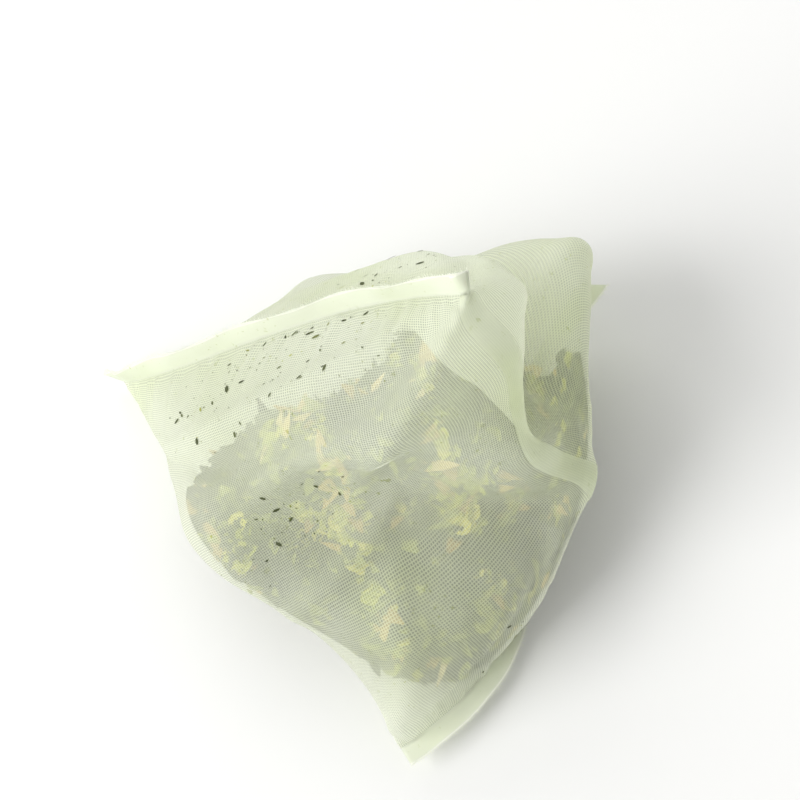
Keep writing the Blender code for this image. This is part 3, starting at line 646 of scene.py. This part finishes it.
def net_material():
    """Pale green-white voile: two sets of threads with small square holes, dusted with tea powder."""
    paint = Paint("net_voile")
    uv = paint.node("ShaderNodeUVMap", {"uv_map": "sheet"})
    split = paint.tree.nodes.new("ShaderNodeSeparateXYZ")
    paint.tree.links.new(uv.socket, split.inputs[0])
    u = Wire(paint, split.outputs[0])
    v = Wire(paint, split.outputs[1])
    around = u * (GIRTH + LAP_WIDTH)
    along = v * (TUBE_HEIGHT + 2 * SEAL_WIDTH)
    place = paint.node("ShaderNodeTexCoord", {}, {}, 3)

    drift = paint.noise(place, 60.0, 2.0) - 0.5
    warp = ((around / THREAD_PITCH + drift * 0.9).fraction() - 0.5).size() * 2
    weft = ((along / THREAD_PITCH + drift * 0.7).fraction() - 0.5).size() * 2
    thread = warp.most(weft).ramp(0.50, 0.72)

    front = 1 - (along - SEAL_WIDTH).ramp(-0.0001, 0.0002)
    ridge = (along - (SEAL_WIDTH + TUBE_HEIGHT)).ramp(-0.0002, 0.0001)
    welded = front.most(ridge)
    rim = (along.least(TUBE_HEIGHT + 2 * SEAL_WIDTH - along)).ramp(0.0001, 0.00035)
    rim = 1 - rim
    lap = 1 - around.least(GIRTH + LAP_WIDTH - around).ramp(0.0028, 0.0031)

    cloud = paint.noise(place, 130.0, 4.0).ramp(0.42, 0.72)
    specks = paint.noise(place, 1500.0, 2.0, 0.7).ramp(0.66, 0.72)
    flecks = paint.noise(place, 640.0, 3.0, 0.6).ramp(0.665, 0.70)
    dust = specks * (0.25 + cloud * 0.75)
    powder = flecks * cloud * 0.8

    pale = (0.87, 0.90, 0.77)
    fresh = (0.80, 0.85, 0.63)
    white = (0.93, 0.95, 0.87)
    green = (0.42, 0.47, 0.13)
    tone = paint.mixed(paint.noise(place, 45.0, 3.0).ramp(0.35, 0.70), pale, fresh)
    tone = paint.mixed(welded * 0.40, tone, white)
    tone = paint.mixed(rim, tone, (0.94, 0.95, 0.88))
    tone = paint.mixed((dust * 0.7).most(powder), tone, green)

    hole = 0.42 + cloud * 0.12
    cover = hole + (0.80 - hole) * thread
    cover = cover.most(welded * 0.82).most(lap * 0.72).most(rim * 0.98)
    cover = cover.most(dust * 0.9).most(powder)

    bump = paint.bump(thread * (1 - welded * 0.7), 0.35, 0.00006)
    body = paint.node("ShaderNodeBsdfPrincipled", {}, {
        "Base Color": tone, "Roughness": 0.58, "Specular IOR Level": 0.35, "Alpha": cover,
        "Sheen Weight": 0.25, "Sheen Roughness": 0.4, "Normal": bump})
    glow = paint.node("ShaderNodeBsdfTranslucent", {}, {"Color": tone, "Normal": bump})
    clear = paint.node("ShaderNodeBsdfTransparent", {}, {"Color": (1.0, 1.0, 1.0, 1.0)})
    lit = paint.node("ShaderNodeMixShader", {}, {0: cover, 1: clear, 2: glow})
    return paint.finish(paint.node("ShaderNodeMixShader", {}, {0: 0.5, 1: body, 2: lit}))


def tea_material(name, dark, mid, light):
    """Small dry pieces, each with its own tone, with grain and lighter patches."""
    paint = Paint(name)
    place = paint.node("ShaderNodeTexCoord", {}, {}, 3)
    shade = paint.node("ShaderNodeAttribute", {"attribute_name": "shade"}, {}, 2)
    grain = paint.noise(place, 900.0, 3.0)
    patch = paint.noise(place, 260.0, 2.0)
    mix = (shade * 0.75 + grain * 0.35 - 0.12).ramp(0.05, 0.95)
    tone = paint.mixed(mix, dark, mid)
    tone = paint.mixed(((shade - 0.72) * 4 + patch * 0.3 - 0.1).ramp(0.1, 0.9), tone, light)
    bump = paint.bump(grain, 0.5, 0.00012)
    body = paint.node("ShaderNodeBsdfPrincipled", {}, {
        "Base Color": tone, "Roughness": 0.62 + grain * 0.25, "Specular IOR Level": 0.3, "Normal": bump})
    return paint.finish(body)


def bulk_material():
    """Packed broken leaf: dark and mid green flecks with scattered yellow and straw-coloured bits."""
    paint = Paint("tea_bulk")
    place = paint.node("ShaderNodeTexCoord", {}, {}, 3)
    fleck = paint.noise(place, 620.0, 2.0)
    yellow = paint.noise(place, 390.0, 2.0).ramp(0.585, 0.625)
    straw = paint.noise(place, 310.0, 3.0).ramp(0.645, 0.67)
    tone = paint.mixed(fleck.ramp(0.43, 0.57), (0.038, 0.046, 0.020), (0.170, 0.195, 0.070))
    tone = paint.mixed(yellow * 0.85, tone, (0.62, 0.62, 0.07))
    tone = paint.mixed(straw * 0.85, tone, (0.80, 0.56, 0.16))
    bump = paint.bump(fleck, 0.6, 0.00025)
    body = paint.node("ShaderNodeBsdfPrincipled", {}, {
        "Base Color": tone, "Roughness": 0.62 + fleck * 0.25, "Specular IOR Level": 0.3, "Normal": bump})
    return paint.finish(body)


net_voile = net_material()
tea_bulk = bulk_material()
leaf_dark = tea_material("tea_leaf", (0.040, 0.048, 0.022), (0.130, 0.150, 0.060), (0.40, 0.43, 0.09))
crumb_bright = tea_material("tea_crumb", (0.46, 0.50, 0.05), (0.78, 0.76, 0.08), (0.95, 0.86, 0.18))
stem_straw = tea_material("tea_stem", (0.55, 0.36, 0.08), (0.82, 0.58, 0.18), (0.92, 0.74, 0.34))
thread_white = tea_material("thread_end", (0.80, 0.84, 0.68), (0.88, 0.90, 0.78), (0.94, 0.95, 0.88))


# The net sheet

def build_net(columns=430, rows=178, border=5):
    """The cut sheet on an even grid of (u, v), with five more rows over each welded border."""
    u = around_from_lap(columns)
    out = SEAL_WIDTH / TUBE_HEIGHT
    v = np.concatenate((np.linspace(-out, 0, border, endpoint=False), np.linspace(0, 1, rows),
                        np.linspace(1, 1 + out, border + 1)[1:]))
    uu, vv = np.meshgrid(u, v)
    points = net_places(uu, vv)
    uv = np.stack(((uu - u[0]) / (u[-1] - u[0]), (vv + out) / (1 + 2 * out)), axis=-1)
    net = make_piece("net_sheet", points.reshape(-1, 3), grid_faces(len(v), columns), net_voile,
                     uv=uv.reshape(-1, 2))
    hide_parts("net_bag")


build_net()


THREAD_RADIUS = 0.000045


def thread_ends():
    """Cut ends of the threads along both welds, a short tapered four-sided spike for each.

    Each spike starts in the cut edge and leans a little aside by a fixed wave of its number.
    """
    count = 340
    points = []
    for ridge in (False, True):
        u = np.linspace(0.0, 1.0, count, endpoint=False) + 0.0007
        n = np.arange(count)
        out_v = SEAL_WIDTH / TUBE_HEIGHT
        edge = (1 + out_v) if ridge else -out_v
        root = net_places(u, np.full(count, edge - (0.002 if ridge else -0.002)))
        rim = net_places(u, np.full(count, edge))
        beside = net_places(u + 0.002, np.full(count, edge))
        along = unit(rim - root)
        across = unit(beside - rim)
        up = unit(np.cross(along, across))
        length = 0.00020 + 0.00022 * (0.5 + 0.5 * np.sin(n * 12.9898)) ** 2
        lean = 0.5 * np.sin(n * 4.17)
        aside = across * lean[:, None] + up * 0.3 * np.sin(n * 7.3)[:, None]
        tip = rim + (along + aside) * length[:, None]
        for direction in (across, up, -across, -up):
            points.append(root + direction * THREAD_RADIUS)
        for direction in (across, up, -across, -up):
            points.append(tip + direction * THREAD_RADIUS * 0.4)
    stack = np.array(points).reshape(2, 8, count, 3).transpose(0, 2, 1, 3).reshape(-1, 3)
    sides = [[k, (k + 1) % 4, (k + 1) % 4 + 4, k + 4] for k in range(4)]
    one = np.array(sides + [[4, 5, 6, 7], [3, 2, 1, 0]])
    faces = repeated_faces(one, 8, 2 * count)
    piece = make_piece("thread_ends", stack, faces, thread_white, shade=np.full(len(stack), 0.8),
                       smooth=False)


thread_ends()


# Tea

chance = np.random.default_rng(11)
net_tree = BVHTree.FromPolygons([tuple(p) for p in net_places(*np.meshgrid(
    np.linspace(0, 1, 121), np.linspace(0, 1, 61))).reshape(-1, 3)], grid_faces(61, 121).tolist())


def net_span(x, y):
    """Lowest and highest height inside the net over a place, or None outside it."""
    up = net_tree.ray_cast(Vector((x, y, -0.01)), Vector((0, 0, 1)))
    if up[0] is None:
        return None
    top = net_tree.ray_cast(Vector((x, y, up[0].z + 0.0008)), Vector((0, 0, 1)))
    return (up[0].z, top[0].z) if top[0] is not None else None


def net_spans(x, y):
    """Lowest and highest height inside the net over arrays of places, not a number outside it."""
    spans = np.array([net_span(a, b) or (np.nan, np.nan) for a, b in zip(x.ravel(), y.ravel())])
    return spans[:, 0].reshape(x.shape), spans[:, 1].reshape(x.shape)


def heap_spot(turn, out):
    """Place at a turn about the tea's middle, out as a share of the ellipse."""
    return (TEA_MIDDLE[0] + out * HEAP_LENGTH / 2 * math.cos(turn),
            TEA_MIDDLE[1] + out * HEAP_DEPTH / 2 * math.sin(turn))


REACH_STEP = 0.02
RIM_DEPTH = 0.0014


def tea_reach(spokes):
    """How far the tea reaches at each spoke, as a share of the ellipse.

    It goes to where the net closes, then takes the least of nine spokes, then the mean of nine.
    """
    reach = []
    for turn in np.linspace(0, 2 * np.pi, spokes, endpoint=False):
        out = 0.1
        while out < 1.0:
            span = net_span(*heap_spot(turn, out + REACH_STEP))
            if span is None or span[1] - span[0] < RIM_DEPTH:
                break
            out += REACH_STEP
        reach.append(out)
    near = np.min([np.roll(reach, k) for k in range(-4, 5)], axis=0)
    return np.mean([np.roll(near, k) for k in range(-4, 5)], axis=0)


TEA_SPOKES = 120
PIECE_ROOM = 0.0006        # least height between a piece's middle and the net
spoke_reach = tea_reach(TEA_SPOKES)


def tea_spots(count, deep, gathered):
    """Places in the tea's top layer, x, y and z, each up to deep under the heap's height.

    A place is kept where a product of sines over x and y is above gathered, from -1.4 to 1.4, so
    a higher number keeps the pieces to fewer patches.
    """
    spots = []
    while len(spots) < count:
        turn, out = chance.random() * 2 * math.pi, math.sqrt(chance.random())
        out *= spoke_reach[int(turn / (2 * math.pi) * TEA_SPOKES) % TEA_SPOKES]
        x, y = heap_spot(turn, out)
        patch = math.sin(x * 310 + 1.9) * math.sin(y * 270 + 0.6) + 0.4 * math.sin((x - y) * 700)
        span = net_span(x, y)
        if span is None or span[1] - span[0] < 2 * PIECE_ROOM or patch < gathered:
            continue
        z = float(heap_height(x, y)) - deep * chance.random()
        z = min(max(z, span[0] + PIECE_ROOM), span[1] - PIECE_ROOM)
        spots.append((x, y, z))
    return np.array(spots)


def flakes(name, count, length, width, curl, material, deep=0.0015, clearance=0.0004,
           gathered=-1.5):
    """Many small pieces of dry leaf in one mesh.

    Each is a strip of (s along, w across): s is carried along a bent, twisted line and w across it,
    with a cupped section and pointed ends.
    """
    spots = tea_spots(count, deep, gathered)
    s = np.linspace(-1, 1, 6)[None, :, None]
    w = np.array((-1.0, 0.0, 1.0))[None, None, :]
    size = length * (0.55 + 0.75 * chance.random(count))[:, None, None]
    wide = width * (0.5 + 0.8 * chance.random(count))[:, None, None]
    bend = curl * (chance.random(count) - 0.5)[:, None, None]
    twist = 1.6 * (chance.random(count) - 0.5)[:, None, None]
    cup = 0.6 * (chance.random(count) - 0.3)[:, None, None]
    half = wide / 2 * (1 - np.abs(s) ** 2.6 * 0.85)
    roll = twist * s
    x = s * size / 2 + 0 * w
    y = half * w * np.cos(roll) + bend * size * s ** 2 * 0.5
    z = half * w * np.sin(roll) + cup * half * w ** 2 + np.abs(bend) * size * 0.2 * s ** 2
    turn = (chance.random(count) * 2 * np.pi)[:, None, None]
    tilt = (0.7 * (chance.random(count) - 0.5))[:, None, None]
    tx = x * np.cos(tilt) + z * np.sin(tilt)
    tz = -x * np.sin(tilt) + z * np.cos(tilt)
    px = tx * np.cos(turn) - y * np.sin(turn)
    py = tx * np.sin(turn) + y * np.cos(turn)
    points = np.stack((px, py, tz), axis=-1).reshape(count, -1, 3) + spots[:, None, :]
    kept = inside_net(points, clearance)
    points = points[kept]
    number = len(points)
    shade = np.repeat(chance.random(number), points.shape[1])
    faces = repeated_faces(grid_faces(6, 3), 18, number)
    piece = make_piece(name, points.reshape(-1, 3), faces, material, shade=shade)
    return piece


def inside_net(points, clearance):
    """Which shapes have all of their sampled points inside the net by a clearance."""
    sampled = points[:, ::4]
    low, high = net_spans(sampled[..., 0], sampled[..., 1])
    fits = (sampled[..., 2] >= low + clearance * 0.5) & (sampled[..., 2] <= high - clearance)
    return fits.all(axis=1)


CORE_LEAST = 0.0009        # height inside the net that the mass needs
CORE_LIFT = 0.0003         # gap between the net below and the mass
CORE_SUNK = 0.0006         # how far the mass lies under the heap's height
CORE_ROOM = 0.0008         # gap between the mass and the net above
CORE_GRAIN = 0.00022


def tea_core():
    """The mass under the loose pieces: rings about the middle, up to the dome and down to the net.

    Points where the net is too close move in by 3% of their way to the middle until there is room.
    """
    rings, spokes = 40, TEA_SPOKES
    reach, turn = np.meshgrid(np.linspace(0, 1, rings), np.linspace(0, 2 * np.pi, spokes, endpoint=False),
                              indexing="ij")
    reach = reach * spoke_reach
    x = TEA_MIDDLE[0] + reach * HEAP_LENGTH / 2 * np.cos(turn)
    y = TEA_MIDDLE[1] + reach * HEAP_DEPTH / 2 * np.sin(turn)
    low_net, high_net = net_spans(x, y)
    tight = ~(high_net - low_net >= CORE_LEAST)
    while tight.any():
        x[tight] = TEA_MIDDLE[0] + (x[tight] - TEA_MIDDLE[0]) * 0.97
        y[tight] = TEA_MIDDLE[1] + (y[tight] - TEA_MIDDLE[1]) * 0.97
        low_net[tight], high_net[tight] = net_spans(x[tight], y[tight])
        tight = ~(high_net - low_net >= CORE_LEAST)
    low = low_net + CORE_LIFT
    dome = heap_height(x, y) - CORE_SUNK
    top = np.maximum(np.minimum(dome, high_net - CORE_ROOM), low + 0.0002)
    grain = np.sin(x * 2900) * np.sin(y * 3100) * CORE_GRAIN
    top += np.clip(top - low - 0.0004, 0, 0.001) * grain / 0.001
    upper = np.stack((x, y, top), -1).reshape(-1, 3)
    lower = np.stack((x, y, low), -1)[::-1].reshape(-1, 3)
    points = np.concatenate((upper, lower))
    faces = grid_faces(2 * rings, spokes, closed=True)
    piece = make_piece("tea_mass", points, faces, tea_bulk)
    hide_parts("tea_heap")


tea_core()
flakes("tea_leaves", 5200, 0.0036, 0.0012, 0.7, leaf_dark)
flakes("tea_crumbs", 760, 0.0024, 0.0019, 0.3, crumb_bright, deep=0.0002, gathered=0.35)
straws = flakes("tea_straws", 90, 0.0062, 0.0017, 0.25, stem_straw, deep=0.0002,
                gathered=0.2)
large = flakes("tea_large_leaves", 160, 0.0075, 0.0024, 0.6, leaf_dark, deep=0.0002)
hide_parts(*[f"leaf_{n:02d}" for n in range(1, 15)])
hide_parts(*[f"stem_{n:02d}" for n in range(1, 7)])


def clinging_specks(count=240):
    """Bits of leaf that cling to the outside of the net, flat on it, gathered in a few places."""
    groups = ((1.02, 0.90), (0.96, 0.97), (0.90, 0.92), (0.84, 0.06), (0.62, 0.90), (0.97, 0.55))
    which = chance.integers(0, len(groups), count)
    centre = np.array(groups)[which]
    u = centre[:, 0] + 0.035 * chance.standard_normal(count)
    v = np.clip(centre[:, 1] + 0.05 * chance.standard_normal(count), 0.01, 0.985)
    here = net_places(u, v, 0.00008)
    ahead = unit(net_places(u + 0.003, v, 0.00008) - here)
    along = unit(net_places(u, v + 0.006, 0.00008) - here)
    size = 0.00012 + 0.0005 * chance.random(count) ** 4
    turn = chance.random(count) * 2 * np.pi
    a = ahead * np.cos(turn)[:, None] + along * np.sin(turn)[:, None]
    b = along * np.cos(turn)[:, None] - ahead * np.sin(turn)[:, None]
    outline = np.array(((-1.0, -0.15), (-0.4, -0.42), (0.5, -0.35), (1.0, 0.1), (0.3, 0.4), (-0.6, 0.3)))
    spread = a[:, None] * outline[None, :, :1] + b[:, None] * outline[None, :, 1:]
    points = here[:, None] + size[:, None, None] * spread
    faces = repeated_faces(np.array(((0, 1, 2, 3), (0, 3, 4, 5))), 6, count)
    piece = make_piece("clinging_specks", points.reshape(-1, 3), faces, leaf_dark,
                       shade=np.repeat(0.3 + 0.6 * chance.random(count), 6))


clinging_specks()


# Floor, light and camera

def white_floor():
    """A pale floor that turns up into a wall behind, as wide as a table."""
    across = np.linspace(-1.5, 1.5, 3)
    turn = np.linspace(0, np.pi / 2, 12)
    deep = np.concatenate(((-1.5,), 0.9 + 0.4 * np.sin(turn), (1.3,)))
    high = np.concatenate(((0.0,), 0.4 - 0.4 * np.cos(turn), (1.8,)))
    x, n = np.meshgrid(across, np.arange(len(deep)))
    points = np.stack((x, deep[n], high[n]), axis=-1).reshape(-1, 3)
    paint = Paint("floor_white")
    matt = paint.node("ShaderNodeBsdfDiffuse", {}, {"Color": (0.86, 0.86, 0.85, 1.0), "Roughness": 0.5})
    mesh = bpy.data.meshes.new("floor")
    mesh.from_pydata(points.tolist(), [], grid_faces(len(deep), 3)[:, ::-1].tolist())
    mesh.materials.append(paint.finish(matt))
    mesh.shade_smooth()
    floor = bpy.data.objects.new("floor", mesh)
    bpy.context.scene.collection.objects.link(floor)


def soft_lamp(name, place, size, power):
    """A square soft lamp that faces the bag."""
    light = bpy.data.lights.new(name, "AREA")
    light.shape = "SQUARE"
    light.size = size
    light.energy = power
    lamp = bpy.data.objects.new(name, light)
    bpy.context.scene.collection.objects.link(lamp)
    lamp.location = place
    lamp.rotation_euler = (Vector((0, 0, 0.015)) - Vector(place)).to_track_quat("-Z", "Y").to_euler()


def studio():
    """White surround, one large lamp above on the camera's left, a weaker one behind the bag."""
    world = bpy.data.worlds.new("white_surround")
    world.use_nodes = True
    world.node_tree.nodes["Background"].inputs[0].default_value = (1.0, 1.0, 1.0, 1.0)
    world.node_tree.nodes["Background"].inputs[1].default_value = 0.60
    bpy.context.scene.world = world
    soft_lamp("window_light", (-0.50, 0.32, 0.46), 0.55, 5.6)
    soft_lamp("rear_light", (0.40, 0.45, 0.45), 0.50, 1.6)


def camera():
    """Camera above the bag, looking down at it, rolled a little as the photograph is."""
    azimuth, elevation, distance, roll = math.radians(-42), math.radians(60), 0.268, math.radians(-21)
    aim = Vector((0.002, -0.002, 0.012))
    # azimuth 0 looks along +Y
    direction = Vector((math.sin(azimuth) * math.cos(elevation), -math.cos(azimuth) * math.cos(elevation),
                        math.sin(elevation)))
    lens = bpy.data.cameras.new("view")
    lens.lens = 100
    lens.sensor_width = 36
    lens.clip_start = 0.01
    eye = bpy.data.objects.new("view", lens)
    bpy.context.scene.collection.objects.link(eye)
    turn = (-direction).to_track_quat("-Z", "Y").to_matrix() @ Matrix.Rotation(roll, 3, "Z")
    eye.location = aim + direction * distance + turn @ Vector((0.0062, 0.0008, 0.0))
    eye.rotation_euler = turn.to_euler()
    bpy.context.scene.camera = eye


white_floor()
studio()
camera()
bpy.context.scene.view_settings.view_transform = "Standard"
